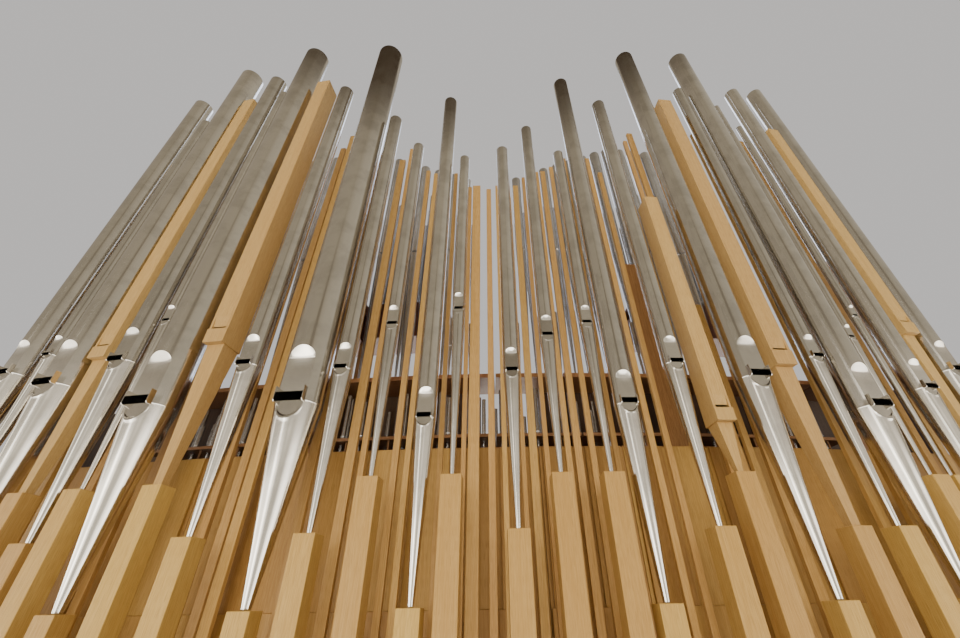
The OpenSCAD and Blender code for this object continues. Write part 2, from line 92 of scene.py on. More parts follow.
def off_arc(points, turn):
    """Points of the row frame as across, depth and height at a turn round the arc."""
    x, y = points[:, 0] - ARC_CENTRE.x, points[:, 1] - ARC_CENTRE.y
    return np.column_stack(
        (
            math.cos(turn) * x + math.sin(turn) * y,
            ARC_RADIUS - math.sin(turn) * x + math.cos(turn) * y,
            points[:, 2],
        )
    )


def own_turn(points):
    """The turn about the upright at which a board fills the smallest box."""
    corners = np.unique(np.round(points[:, :2], 4), axis=0)
    sides = (corners[:, None] - corners[None]).reshape(-1, 2)
    sides = sides[np.hypot(sides[:, 0], sides[:, 1]) > SHORTEST_SIDE]
    turns = np.arctan2(sides[:, 1], sides[:, 0])
    turns -= np.round(turns / (math.pi / 2)) * (math.pi / 2)

    def spread(turn):
        return np.ptp(off_arc(points, turn)[:, :2], axis=0).prod()

    return float(min(turns, key=spread))


def board_places(name):
    """Turn, centre and size of each board of a CAD node."""
    places = []
    for points in solids(name):
        turn = own_turn(points)
        local = off_arc(points, turn)
        low, high = local.min(0), local.max(0)
        across, depth, z = (low + high) / 2
        places.append((turn, on_arc(turn, across, depth, z), tuple(high - low)))
    return places


def eased_board(size, edge):
    """A planed board about the origin, with every edge eased."""
    shape = bmesh.new()
    bmesh.ops.create_cube(shape, size=1.0)
    bmesh.ops.scale(shape, vec=size, verts=shape.verts)
    bmesh.ops.bevel(shape, geom=shape.edges[:], offset=edge, segments=2, profile=0.5, affect="EDGES")
    mesh = bpy.data.meshes.new("eased_board")
    shape.to_mesh(mesh)
    shape.free()
    points = np.empty(len(mesh.vertices) * 3)
    mesh.vertices.foreach_get("co", points)
    mesh.attributes.new("grain", "FLOAT_VECTOR", "POINT").data.foreach_set("vector", points)
    return mesh


def boards_tree():
    """Copies of one board, each at its own place, turn and size, with a tone of its own."""
    tree = bpy.data.node_groups.new("boards_along_the_front", "GeometryNodeTree")
    for label, kind in (
        ("Places", "NodeSocketGeometry"),
        ("Board", "NodeSocketObject"),
        ("Finish", "NodeSocketMaterial"),
        ("Seed", "NodeSocketInt"),
    ):
        tree.interface.new_socket(label, in_out="INPUT", socket_type=kind)
    tree.interface.new_socket("Boards", in_out="OUTPUT", socket_type="NodeSocketGeometry")
    new, link = tree.nodes.new, tree.links.new
    given, result = new("NodeGroupInput"), new("NodeGroupOutput")
    board = new("GeometryNodeObjectInfo")
    turn = new("GeometryNodeInputNamedAttribute")
    turn.inputs["Name"].default_value = "turn"
    stretch = new("GeometryNodeInputNamedAttribute")
    stretch.data_type = "FLOAT_VECTOR"
    stretch.inputs["Name"].default_value = "stretch"
    rotation = new("ShaderNodeCombineXYZ")
    copies = new("GeometryNodeInstanceOnPoints")
    tone = new("FunctionNodeRandomValue")
    keep = new("GeometryNodeStoreNamedAttribute")
    keep.domain = "INSTANCE"
    keep.inputs["Name"].default_value = "tone"
    real = new("GeometryNodeRealizeInstances")
    unstretched = new("GeometryNodeInputNamedAttribute")
    unstretched.data_type = "FLOAT_VECTOR"
    unstretched.inputs["Name"].default_value = "grain"
    true_size = new("ShaderNodeVectorMath")
    true_size.operation = "MULTIPLY"
    grain = new("GeometryNodeStoreNamedAttribute")
    grain.data_type = "FLOAT_VECTOR"
    grain.inputs["Name"].default_value = "grain"
    finish = new("GeometryNodeSetMaterial")
    link(given.outputs["Board"], board.inputs["Object"])
    link(turn.outputs["Attribute"], rotation.inputs["Z"])
    link(given.outputs["Places"], copies.inputs["Points"])
    link(board.outputs["Geometry"], copies.inputs["Instance"])
    link(rotation.outputs["Vector"], copies.inputs["Rotation"])
    link(stretch.outputs["Attribute"], copies.inputs["Scale"])
    link(given.outputs["Seed"], tone.inputs["Seed"])
    link(copies.outputs["Instances"], keep.inputs["Geometry"])
    link(next(s for s in tone.outputs if s.type == "VALUE" and s.enabled), keep.inputs["Value"])
    link(keep.outputs["Geometry"], real.inputs["Geometry"])
    link(unstretched.outputs["Attribute"], true_size.inputs[0])
    link(stretch.outputs["Attribute"], true_size.inputs[1])
    link(real.outputs["Geometry"], grain.inputs["Geometry"])
    link(true_size.outputs["Vector"], grain.inputs["Value"])
    link(grain.outputs["Geometry"], finish.inputs["Geometry"])
    link(given.outputs["Finish"], finish.inputs["Material"])
    link(finish.outputs["Geometry"], result.inputs["Boards"])
    return tree


BOARDS = boards_tree()


def grown(obj, tree, **values):
    """The object with the tree's result as its plain mesh."""
    modifier = obj.modifiers.new("grow", "NODES")
    modifier.node_group = tree
    for item in tree.interface.items_tree:
        if item.item_type == "SOCKET" and item.in_out == "INPUT" and item.name in values:
            modifier[item.identifier] = values[item.name]
    graph = bpy.context.evaluated_depsgraph_get()
    whole = obj.evaluated_get(graph)
    mesh = bpy.data.meshes.new_from_object(whole, preserve_all_data_layers=True, depsgraph=graph)
    obj.modifiers.clear()
    obj.data = mesh
    return obj


def fit(obj, slot, *replaced):
    """Fixes a finished piece to the organ in place of the CAD nodes it stands for."""
    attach(obj, "root")
    if replaced:
        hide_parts(*replaced)
    return obj


def set_boards(name, places, edge, material, seed):
    """One piece of eased boards at the places given as turn, centre and size."""
    sizes = np.array([size for _, _, size in places])
    common = np.median(sizes, axis=0)
    pattern = bpy.data.objects.new("board_pattern", eased_board(tuple(common), edge))
    mesh = bpy.data.meshes.new(name)
    mesh.from_pydata([centre for _, centre, _ in places], [], [])
    turns = mesh.attributes.new("turn", "FLOAT", "POINT")
    turns.data.foreach_set("value", [turn for turn, _, _ in places])
    stretch = mesh.attributes.new("stretch", "FLOAT_VECTOR", "POINT")
    stretch.data.foreach_set("vector", (sizes / common).ravel())
    obj = bpy.data.objects.new(name, mesh)
    scene.collection.objects.link(obj)
    scene.collection.objects.link(pattern)
    grown(obj, BOARDS, Board=pattern, Finish=material, Seed=seed)
    bpy.data.objects.remove(pattern)
    return obj


def adder(tree):
    """A short way to add nodes to a tree, with their settings and their inputs, linked or set."""

    def add(kind, inputs=(), **settings):
        node = tree.nodes.new(kind)
        for key, value in settings.items():
            setattr(node, key, value)
        for key, value in dict(inputs).items():
            if isinstance(value, bpy.types.NodeSocket):
                tree.links.new(value, node.inputs[key])
            else:
                node.inputs[key].default_value = value
        return node

    return add


def shader(name):
    """A new material with its tree, its shader and a short way to add nodes."""
    material = bpy.data.materials.new(name)
    material.use_nodes = True
    tree = material.node_tree
    return material, tree, tree.nodes["Principled BSDF"], adder(tree)


def ramp(add, factor, stops, smooth=True):
    """A colour ramp from stops of place and grey or colour."""
    node = add("ShaderNodeValToRGB", {"Fac": factor})
    points = node.color_ramp.elements
    while len(points) < len(stops):
        points.new(0.5)
    for point, (place, value) in zip(points, stops):
        point.position = place
        point.color = (*value, 1) if isinstance(value, tuple) else (value, value, value, 1)
    node.color_ramp.interpolation = "EASE" if smooth else "LINEAR"
    return node.outputs["Color"]


def moved_by_tone(add, reach):
    """The board's or pipe's own coordinates, shifted by its tone so that no two carry the same pattern."""
    place = add("ShaderNodeAttribute", attribute_name="grain").outputs["Vector"]
    tone = add("ShaderNodeAttribute", attribute_name="tone").outputs["Fac"]
    shift = add("ShaderNodeVectorMath", {0: tone, 1: reach}, operation="MULTIPLY")
    place = add("ShaderNodeVectorMath", {0: place, 1: shift.outputs[0]}, operation="ADD")
    return place.outputs[0], tone


def noise(add, place, scale, detail, **more):
    """Noise stretched along the grain, from its places and its scale on the three axes."""
    place = add("ShaderNodeMapping", {"Vector": place, "Scale": scale}).outputs[0]
    more = {key.title(): value for key, value in more.items()}
    return add("ShaderNodeTexNoise", {"Vector": place, "Scale": 1.0, "Detail": detail, **more}).outputs["Fac"]


FINE_GRAIN = 170
BROAD_FIGURE = 15
PORES = 900
RINGS = 7.0
PORE_SHADE = 0.86
WOOD_RELIEF = 0.0006


def wood(name, pale, deep, own_grain=True, shine=0.46, along=(1.0, 1.0, 0.02)):
    """Planed wood: fine grain, broad figure, pores and a tone that differs from board to board."""
    material, tree, surface, add = shader(name)
    tone = None
    if own_grain:
        place, tone = moved_by_tone(add, (37.0, 19.0, 53.0))
    else:
        place = add("ShaderNodeTexCoord").outputs["Object"]
    streaks = noise(add, place, tuple(FINE_GRAIN * k for k in along), 3.0, roughness=0.55)
    broad = tuple(BROAD_FIGURE * k for k in along)
    figure = noise(add, place, broad, 2.0, roughness=0.5, distortion=1.1)
    rings = add("ShaderNodeMath", {0: figure, 1: RINGS}, operation="MULTIPLY")
    rings = add("ShaderNodeMath", {0: rings.outputs[0]}, operation="FRACT")
    rings = ramp(add, rings.outputs[0], ((0.0, 0.62), (0.75, 0.42), (1.0, 0.62)))
    mixed = add("ShaderNodeMix", {"Factor": 0.42, "A": streaks, "B": rings}, data_type="FLOAT").outputs[0]
    pores = noise(add, place, tuple(PORES * k for k in along), 0.0)
    pores = ramp(add, pores, ((0.36, 0.0), (0.46, 1.0)))
    tint = ramp(add, mixed, ((0.34, deep), (0.64, pale)))
    dark = tuple(PORE_SHADE * k for k in deep)
    colour = add("ShaderNodeMix", {"Factor": pores, 6: (*dark, 1), 7: tint}, data_type="RGBA").outputs[2]
    if tone is not None:
        level = add("ShaderNodeMapRange", {"Value": tone, "To Min": 0.86, "To Max": 1.1}).outputs[0]
        hue = add("ShaderNodeMapRange", {"Value": tone, "To Min": 0.493, "To Max": 0.505}).outputs[0]
        colour = add("ShaderNodeHueSaturation", {"Color": colour, "Value": level, "Hue": hue}).outputs[0]
    tree.links.new(colour, surface.inputs["Base Color"])
    limits = {"From Min": 0.3, "From Max": 0.7, "To Min": shine + 0.08, "To Max": shine - 0.05}
    rough = add("ShaderNodeMapRange", {"Value": streaks, **limits})
    tree.links.new(rough.outputs[0], surface.inputs["Roughness"])
    relief = add("ShaderNodeMix", {"Factor": 0.35, "A": mixed, "B": pores}, data_type="FLOAT").outputs[0]
    bump = add("ShaderNodeBump", {"Height": relief, "Strength": 0.22, "Distance": WOOD_RELIEF})
    tree.links.new(bump.outputs[0], surface.inputs["Normal"])
    return material


def planed(names, edge, material, seed, slot):
    """Boards planed and eased, fitted in place of the nodes named."""
    for i, name in enumerate(names):
        finish = material[i] if isinstance(material, tuple) else material
        fit(set_boards(name + "_planed", board_places(name), edge, finish, seed + i), slot, name)


post_wood = wood("post_maple", (0.555, 0.362, 0.114), (0.49, 0.30, 0.08))
planed(("low_posts", "middle_posts", "high_posts"), POST_EDGE, post_wood, POST_SEED, "post_wood")

# Slats
# Slender upright slats of the same wood that hide the gaps between the posts and screen the inner pipes.
# Each is planed to its own width and cut to a length that rises from the middle of the front.
SLAT_EDGE = 0.002
SLAT_SEED = 21
slat_wood = wood("slat_maple", (0.55, 0.347, 0.125), (0.47, 0.277, 0.083))
slat_groups = ("slats_outer_left", "slats_left", "slats_right", "slats_outer_right")
planed(slat_groups, SLAT_EDGE, slat_wood, SLAT_SEED, "slat_wood")

# Case wall
# A wall of upright boards on thirteen flat bays: a backing, deep lower panels, narrower upper boards
# and a rail behind the top edge. It is of oiled wood, painted darker and redder than the posts, as
# painted shade behind them.
WALL_EDGE = 0.0025
WALL_SEED = 31
# painted shade: the wall's wood is made darker and redder than the posts' to stand for the shade behind them
wall_wood = wood("wall_maple_with_painted_shade", (0.455, 0.28, 0.086), (0.38, 0.217, 0.058))
rail_wood = wood("rail_maple", (0.36, 0.18, 0.06), (0.25, 0.11, 0.032))
wall_parts = ("wall_backing", "lower_panels", "upper_boards", "top_rail")
planed(wall_parts, WALL_EDGE, (wall_wood, wall_wood, wall_wood, rail_wood), WALL_SEED, "wall_wood")

# Sides, back and plinth
# The case is closed at its sides and back by upright boards butted edge to edge, as high as the wall.
# The plinth is one low step that follows the arc of the posts.
PLAIN_BOARD = 0.27
PANEL_SEED = 41


def upright_boards(name, material, seed):
    """A flat panel of the case as butted upright boards of nearly equal width."""
    low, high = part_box(name)
    middle, size = (low + high) / 2, high - low
    axis = 0 if size.x > size.y else 1
    count = max(2, round(size[axis] / PLAIN_BOARD))
    step = size[axis] / count
    places = []
    for i in range(count):
        centre, board = middle.copy(), size.copy()
        centre[axis] = low[axis] + (i + 0.5) * step
        board[axis] = step
        places.append((0.0, tuple(centre), tuple(board)))
    return set_boards(name + "_boards", places, WALL_EDGE, material, seed)


# the side and back boards take the wall's colours, painted shade included
for seed, name in enumerate(("side_panel_left", "side_panel_right", "back_panel")):
    fit(upright_boards(name, wall_wood, PANEL_SEED + seed), "wall_wood", name)


def finished(names, material):
    """Gives a material to the CAD nodes named, whose solids stay as they are."""
    for name in names:
        nodes[name].data.materials.clear()
        nodes[name].data.materials.append(material)


LYING = {"own_grain": False, "along": (0.02, 1.0, 1.0)}
finished(("plinth",), wood("plinth_maple", (0.42, 0.23, 0.08), (0.30, 0.145, 0.042), **LYING))

# Metal front pipes
# Each is a sheet of tin alloy rolled to a tube and soldered to a conical foot. The lips are pressed
# flat, the upper one under a rounded arch, and the wider pipes have an ear on each side of the mouth.
MOUTH_SHARE = 0.7
MOUTH_POWER = 0.12
CUT_UP = 0.34
LIP_STRAIGHT = 1.62
LIP_TOP = 2.10
LOWER_LIP = 0.62
SCOOP = 0.10
ROLL = 0.012
LEAN = 0.05
MOUTH_COLUMNS = 24
BACK_COLUMNS = 32
SHEET = 0.0022
SEAM = 0.0007
SHARP_FOLD = math.radians(16)
PIPE_DEPTH = 0.05
EAR_FROM = 0.087
EAR_SHEET = 0.003
EAR_LOW = -0.08
EAR_TOP = 0.46
EAR_OUT = 0.22


def mouth_width(radius):
    """Width of the mouth, a share of the body that shrinks as the pipe gets wider."""
    return MOUTH_SHARE * 2 * radius * (0.05 / radius) ** MOUTH_POWER


def flue_sheet(radius, toe_radius, foot, body):
    """Rolled sheet of one pipe about its axis, mouth at height zero: points, faces, unrolled places."""
    width = mouth_width(radius)
    half = width / 2
    flat = math.sqrt(radius**2 - half**2)
    cut, straight, top, low = CUT_UP * width, LIP_STRAIGHT * width, LIP_TOP * width, LOWER_LIP * width
    rise = 2.0 + 1.2 * max(0.0, min(1.0, (0.16 - 2 * radius) / 0.06))
    edge = math.asin(half / radius)
    across = half * np.sin(np.linspace(-math.pi / 2, math.pi / 2, MOUTH_COLUMNS + 1))
    round_back = np.linspace(edge, 2 * math.pi - edge, BACK_COLUMNS + 1)[1:-1]
    angles = np.concatenate((np.arcsin(across / radius), round_back))
    columns = len(angles)
    # the rows bend to follow the arch above the mouth and the round edge of the lower lip
    beside = np.minimum(np.arange(BACK_COLUMNS - 1), np.arange(BACK_COLUMNS - 1)[::-1])
    beside = np.clip((beside + 1) / 5, 0.05, 1)
    bulge = np.clip((np.sqrt(radius**2 - across**2) - flat) / (radius - flat), 0, 1)
    arch = np.concatenate((np.maximum(bulge ** (1 / rise), 0.05), beside)) * (top - straight) + straight
    lower = np.concatenate((np.maximum(np.sqrt(1 - (across / half) ** 2), 0.05), beside)) * -low
    scoop = np.minimum(SCOOP * width, -0.5 * lower)
    plain = np.ones(columns)
    rows = [plain * -foot, plain * (0.004 - foot)]
    rows += [plain * z for z in np.linspace(-foot, -1.3 * low, 6)[1:]]
    rows += [-1.3 * low + (lower + 1.3 * low) * t for t in (0.3, 0.55, 0.72, 0.82, 0.9, 0.96, 1)]
    rows += [lower + scoop * t for t in np.linspace(0, 1, 7)[1:]]
    rows += [lower + scoop + (-0.004 - lower - scoop) * t for t in np.linspace(0, 1, 4)[1:]]
    rows += [plain * z for z in (-0.002, 0.0, 0.002, 0.004, cut)]
    rows += [plain * z for z in np.linspace(cut, straight, 4)[1:]]
    rows += [straight + (arch - straight) * t for t in np.linspace(0, 1, 11)[1:]]
    rows += [arch + (top + 0.1 * width - arch) * t for t in np.linspace(0, 1, 4)[1:]]
    rows += [plain * z for z in np.linspace(top + 0.1 * width, body, 5)[1:]]
    z = np.array(rows)
    turn = np.broadcast_to(angles, z.shape)
    cone = toe_radius + (radius - toe_radius) * (z + foot) / foot
    rim = np.where(z < 0, cone, radius)
    rim = np.where(np.abs(z) < 0.0025, radius + SEAM, rim)
    rim = np.where(z < 0.002 - foot, rim - 0.0015, rim)
    # the metal stands out in a small roll under the round edge
    roll = np.exp(-(((z - lower) / width + 0.06) / 0.04) ** 2)
    rim = rim + ROLL * width * roll * np.concatenate((bulge**0.25, np.zeros(BACK_COLUMNS - 1)))
    x, y = rim * np.sin(turn), -rim * np.cos(turn)
    risen = np.clip((z - straight) / (arch - straight), 0, 1) ** 1.4
    slope = np.concatenate((bulge, np.zeros(BACK_COLUMNS - 1))) * risen
    sunk = np.clip((z - lower) / scoop, 0, 1)
    sunk = sunk * sunk * (3 - 2 * sunk)
    pressed = np.where(z < 0, flat - LEAN * z, flat + (radius - flat) * slope)
    pressed = np.where(z < 0, sunk, 1.0) * np.minimum(pressed + y, 0)
    y = y - np.where(np.arange(columns) <= MOUTH_COLUMNS, pressed, 0.0)
    points = np.column_stack((x.ravel(), y.ravel(), z.ravel()))
    inner = points * np.array((1 - SHEET / radius, 1 - SHEET / radius, 1.0))
    sheet = np.column_stack((turn.ravel() * radius, z.ravel(), np.zeros(z.size)))
    faces = []
    for i in range(len(rows) - 1):
        open_row = z[i, 0] >= -1e-9 and z[i + 1, 0] <= cut + 1e-9
        for j in range(MOUTH_COLUMNS if open_row else 0, columns):
            k = (j + 1) % columns
            faces.append((i * columns + j, i * columns + k, (i + 1) * columns + k, (i + 1) * columns + j))
    sides = {pair for face in faces for pair in zip(face, face[1:] + face[:1])}
    count = len(points)
    shell = faces + [tuple(count + k for k in reversed(face)) for face in faces]
    shell += [(b, a, count + a, count + b) for a, b in sides if (b, a) not in sides]
    return np.vstack((points, inner)), shell, np.vstack((sheet, sheet))


def prism(outline, low, high, axis):
    """A closed prism of an outline of two coordinates, between two places on the axis that is left."""
    points = []
    for level in (low, high):
        for a, b in outline:
            point = [a, b]
            point.insert(axis, level)
            points.append(point)
    count = len(outline)
    faces = [tuple(range(count - 1, -1, -1)), tuple(range(count, 2 * count))]
    faces += [(i, (i + 1) % count, count + (i + 1) % count, count + i) for i in range(count)]
    if axis == 1:
        faces = [tuple(reversed(face)) for face in faces]
    return np.array(points), faces


def ears(radius):
    """The two ears soldered beside a mouth, cut square at both ends."""
    width = mouth_width(radius)
    flat = math.sqrt(radius**2 - width**2 / 4)
    out = EAR_OUT * width
    outline = [
        (-flat + 0.004, EAR_LOW * width),
        (-flat + 0.004, EAR_TOP * width),
        (-flat - 0.9 * out, EAR_TOP * width),
        (-flat - out, (EAR_TOP - 0.03) * width),
        (-flat - out, (EAR_LOW + 0.05) * width),
        (-flat - 0.8 * out, EAR_LOW * width),
    ]
    for sign in (-1, 1):
        middle = sign * (width / 2 - 0.0005)
        yield prism(outline[::-1], middle - EAR_SHEET / 2, middle + EAR_SHEET / 2, 0)


def languid(radius):
    """The flat plate across the pipe at the foot's top, with its straight front edge behind the lower lip."""
    flat = math.sqrt(radius**2 - mouth_width(radius) ** 2 / 4)
    edge = radius - SHEET - 0.0002
    start = math.acos((flat - 0.003) / edge)
    angles = np.linspace(start, 2 * math.pi - start, 36)
    return prism([(edge * math.sin(a), -edge * math.cos(a)) for a in angles], -0.005, -0.0012, 2)


def pipe_facts(points):
    """Turn, height of mouth, radius, toe radius, foot and body of a metal pipe, read from its solid."""
    toe, top = points[:, 2].min(), points[:, 2].max()
    rim = points[points[:, 2] > top - 1e-4]
    middle = (rim.min(0) + rim.max(0)) / 2
    turn = math.atan2(middle[0], ARC_CENTRE.y - middle[1])
    local = off_arc(points, turn)
    reach = np.hypot(local[:, 0], local[:, 1] - PIPE_DEPTH)
    radius = reach[points[:, 2] > top - 1e-4].max()
    joint = points[(np.abs(reach - radius) < 2e-4) & (points[:, 2] < top - 0.3)][:, 2].min()
    return turn, joint, radius, reach[points[:, 2] < toe + 1e-4].max(), joint - toe, top - joint


def gather(name, parts, material):
    """One object from parts given as points, faces, attribute places and tone."""
    mesh = bpy.data.meshes.new(name)
    verts, faces, grains, tones, start = [], [], [], [], 0
    for points, part_faces, grain, tone in parts:
        verts.append(points)
        faces.extend(tuple(start + k for k in face) for face in part_faces)
        grains.append(grain)
        tones.append(np.full(len(points), tone))
        start += len(points)
    mesh.from_pydata(np.vstack(verts).tolist(), [], faces)
    grain = mesh.attributes.new("grain", "FLOAT_VECTOR", "POINT")
    grain.data.foreach_set("vector", np.vstack(grains).ravel())
    mesh.attributes.new("tone", "FLOAT", "POINT").data.foreach_set("value", np.concatenate(tones))
    mesh.materials.append(material)
    obj = bpy.data.objects.new(name, mesh)
    scene.collection.objects.link(obj)
    return obj


def placed(points, turn, height, depth=PIPE_DEPTH):
    """Points about a pipe's own axis, moved to its place on the arc."""
    c, s = math.cos(turn), math.sin(turn)
    origin = on_arc(turn, 0.0, depth, height)
    return np.column_stack(
        (
            origin[0] + c * points[:, 0] - s * points[:, 1],
            origin[1] + s * points[:, 0] + c * points[:, 1],
            origin[2] + points[:, 2],
        )
    )


def tin(name, colour, gloss, own_sheet=True):
    """Planed tin alloy: soft long waves from rolling, faint upright strokes and a dull film in patches."""
    material, tree, surface, add = shader(name)
    tone = None
    if own_sheet:
        place, tone = moved_by_tone(add, (23.0, 41.0, 17.0))
        stroke, wave = (420.0, 5.0, 1.0), (7.0, 0.9, 1.0)
    else:
        place = add("ShaderNodeTexCoord").outputs["Object"]
        stroke, wave = (420.0, 420.0, 5.0), (9.0, 9.0, 0.9)
    strokes = noise(add, place, stroke, 1.0)
    waves = noise(add, place, wave, 0.0)
    film = {"Vector": place, "Scale": 5.5, "Detail": 3.0, "Roughness": 0.6}
    film = add("ShaderNodeTexNoise", film).outputs["Fac"]
    dull = tuple(DULL * k for k in colour)
    tint = ramp(add, film, ((0.34, dull), (0.6, colour)))
    if tone is not None:
        level = add("ShaderNodeMapRange", {"Value": tone, "To Min": 0.93, "To Max": 1.05})
        tint = add("ShaderNodeHueSaturation", {"Color": tint, "Value": level.outputs[0]}).outputs[0]
    tree.links.new(tint, surface.inputs["Base Color"])
    surface.inputs["Metallic"].default_value = 1.0
    limits = {"From Min": 0.3, "From Max": 0.7, "To Min": gloss + 0.05, "To Max": gloss - 0.02}
    rough = add("ShaderNodeMapRange", {"Value": film, **limits})
    rubbed = {0: strokes, 1: 0.05, 2: rough.outputs[0]}
    rubbed = add("ShaderNodeMath", rubbed, operation="MULTIPLY_ADD")
    tree.links.new(rubbed.outputs[0], surface.inputs["Roughness"])
    soft = add("ShaderNodeBump", {"Height": waves, "Strength": 0.12, "Distance": 0.002})
    lines = {"Height": strokes, "Strength": 0.012, "Distance": 0.0002, "Normal": soft.outputs[0]}
    bump = add("ShaderNodeBump", lines)
    tree.links.new(bump.outputs[0], surface.inputs["Normal"])
    return material


DULL = 0.86
front_tin = tin("front_tin", (0.70, 0.66, 0.59), 0.13)
front_nodes = [f"bass_pipe_{i}" for i in range(1, 7)]
front_nodes += [
    "outer_left_pipes",
    "left_pipes",
    "centre_left_pipes",
    "centre_right_pipes",
    "right_pipes",
    "outer_right_pipes",
]
tone_seed = np.random.default_rng(5)
for name in front_nodes:
    parts = []
    for solid in solids(name):
        turn, mouth, radius, toe_radius, foot, body = pipe_facts(solid)
        tone = tone_seed.random()
        points, faces, sheet = flue_sheet(radius, toe_radius, foot, body)
        parts.append((placed(points, turn, mouth), faces, sheet, tone))
        extras = [languid(radius)]
        if 2 * radius > EAR_FROM:
            extras += list(ears(radius))
        for points, faces in extras:
            parts.append((placed(points, turn, mouth), faces, points, tone))
    piece = gather(name + "_sheet", parts, front_tin)
    piece.data.shade_smooth()
    piece.data.set_sharp_from_angle(angle=SHARP_FOLD)
    fit(piece, "front_pipe_metal", name)

# Wooden pipes
# Each is a square pipe of four glued boards, open at the top, with a cap block screwed over its mouth
# and a foot that tapers to the post. The front board has a shallow slope cut above the slit.
PIPE_EDGE = 0.0018
BOARD = 0.012
pipe_wood = wood("pipe_maple", (0.54, 0.365, 0.145), (0.48, 0.305, 0.105))


def eased_prism(outline, low, high, axis, edge=PIPE_EDGE):
    """A closed prism with its edges eased: points and faces."""
    return eased(*prism(outline, low, high, axis), edge)


def eased(points, faces, edge):
    """A closed shape with its edges eased: points and faces."""
    shape = bmesh.new()
    verts = [shape.verts.new(point) for point in points]
    for face in faces:
        shape.faces.new([verts[k] for k in face])
    bmesh.ops.recalc_face_normals(shape, faces=shape.faces)
    bmesh.ops.bevel(shape, geom=shape.edges[:], offset=edge, segments=2, profile=0.5, affect="EDGES")
    shape.verts.index_update()
    points = np.array([tuple(vert.co) for vert in shape.verts])
    faces = [tuple(vert.index for vert in face.verts) for face in shape.faces]
    shape.free()
    return points, faces


def box_outline(x_0, x_1, y_0, y_1):
    return [(x_0, y_0), (x_1, y_0), (x_1, y_1), (x_0, y_1)]


def wooden_facts(points):
    """Turn and the main levels of a wooden pipe, read from its solid."""
    toe = points[points[:, 2] < points[:, 2].min() + 1e-4]
    toe_middle = (toe.min(0) + toe.max(0)) / 2
    turn = math.atan2(toe_middle[0], ARC_CENTRE.y - toe_middle[1])
    local = off_arc(points, turn)
    local[:, 1] -= PIPE_DEPTH
    top = local[:, 2].max()
    rim = local[local[:, 2] > top - 1e-4]
    half, front, back = rim[:, 0].max(), rim[:, 1].min(), rim[:, 1].max()
    cap = local[local[:, 0] > half + 0.0005]
    toe_half = off_arc(toe, turn)[:, 0].max()
    levels = cap[:, 2].min(), cap[:, 2].max(), top, toe[:, 2].min()
    return turn, half, front, back, cap[:, 0].max(), cap[:, 1].min(), toe_half, *levels


FOOT_STEP = 0.008
SLIT = 0.018
SLOPE = 0.0085
MOUTH_WIDTH = 0.74
OWN_TONE = 0.8
BOARD_SHIFT = 3.1
for name in ("wooden_pipes_left", "wooden_pipe_middle", "wooden_pipes_right"):
    parts = []
    for solid in solids(name):
        turn, half, front, back, cap_half, cap_front, toe, base, cap_top, top, floor = wooden_facts(solid)
        body, cap, slit = top - base, cap_top - base, SLIT
        mouth = half * MOUTH_WIDTH
        pieces = [
            # the side boards, the back and the closed block at the base
            eased_prism(box_outline(-half, -half + BOARD, front, back), 0.0, body, 2),
            eased_prism(box_outline(half - BOARD, half, front, back), 0.0, body, 2),
            eased_prism(box_outline(-half + BOARD, half - BOARD, back - BOARD, back), 0.0, body, 2),
            eased_prism(
                box_outline(-half + BOARD, half - BOARD, front + BOARD, back - BOARD), 0.0, 0.7 * cap, 2
            ),
            # the cap block over the foot of the front board
            eased_prism(box_outline(-cap_half, cap_half, cap_front, front + 0.001), 0.0, cap, 2, 0.0025),
            eased_prism(box_outline(-half + BOARD, half - BOARD, front, front + BOARD), 0.0, cap, 2),
            # the front board above the slit, with its slope between two cheeks
            eased_prism(box_outline(-half + BOARD, -mouth, front, front + BOARD), cap, body, 2, 0.0005),
            eased_prism(box_outline(mouth, half - BOARD, front, front + BOARD), cap, body, 2, 0.0005),
            eased_prism(
                [
                    (front + SLOPE, cap + slit),
                    (front + BOARD, cap + slit),
                    (front + BOARD, body),
                    (front, body),
                    (front, cap + slit + 1.5 * mouth),
                ],
                -mouth,
                mouth,
                0,
                0.0006,
            ),
        ]
        foot = base - floor
        wide, foot_back = half - FOOT_STEP, back - FOOT_STEP
        corners = [(-toe, -toe, -foot), (toe, -toe, -foot), (toe, toe, -foot), (-toe, toe, -foot)]
        corners += [(-wide, -toe, 0.0), (wide, -toe, 0.0), (wide, foot_back, 0.0), (-wide, foot_back, 0.0)]
        sides = ((3, 2, 1, 0), (4, 5, 6, 7), (0, 1, 5, 4), (1, 2, 6, 5), (2, 3, 7, 6), (3, 0, 4, 7))
        pieces.append(eased(corners, sides, PIPE_EDGE))
        own = tone_seed.random()
        for k, (points, faces) in enumerate(pieces):
            tone = OWN_TONE * own + (1 - OWN_TONE) * tone_seed.random()
            parts.append((placed(points, turn, base), faces, points + k * BOARD_SHIFT, tone))
    piece = gather(name + "_boards", parts, pipe_wood)
    fit(piece, "pipe_wood", name)

# Inner frame, chests and racks
# Behind the wall stand the lower windchest with its rack board, the stiles and screens that carry the
# raised plank, and two upper windchests on uprights. All are of darker wood, planed and butted. The
# screens and the upper chests are near black, as painted shade deep inside the case.
INNER_SEED = 61
inner_wood = wood("inner_wood", (0.40, 0.21, 0.085), (0.27, 0.13, 0.05))
# painted shade: the upper chests are near black, standing for the shade on their fronts inside the case
chest_in_painted_shade = wood("chest_in_painted_shade", (0.17, 0.062, 0.035), (0.11, 0.04, 0.022))
plank_wood = wood("plank_wood", (0.40, 0.20, 0.085), (0.28, 0.13, 0.05))
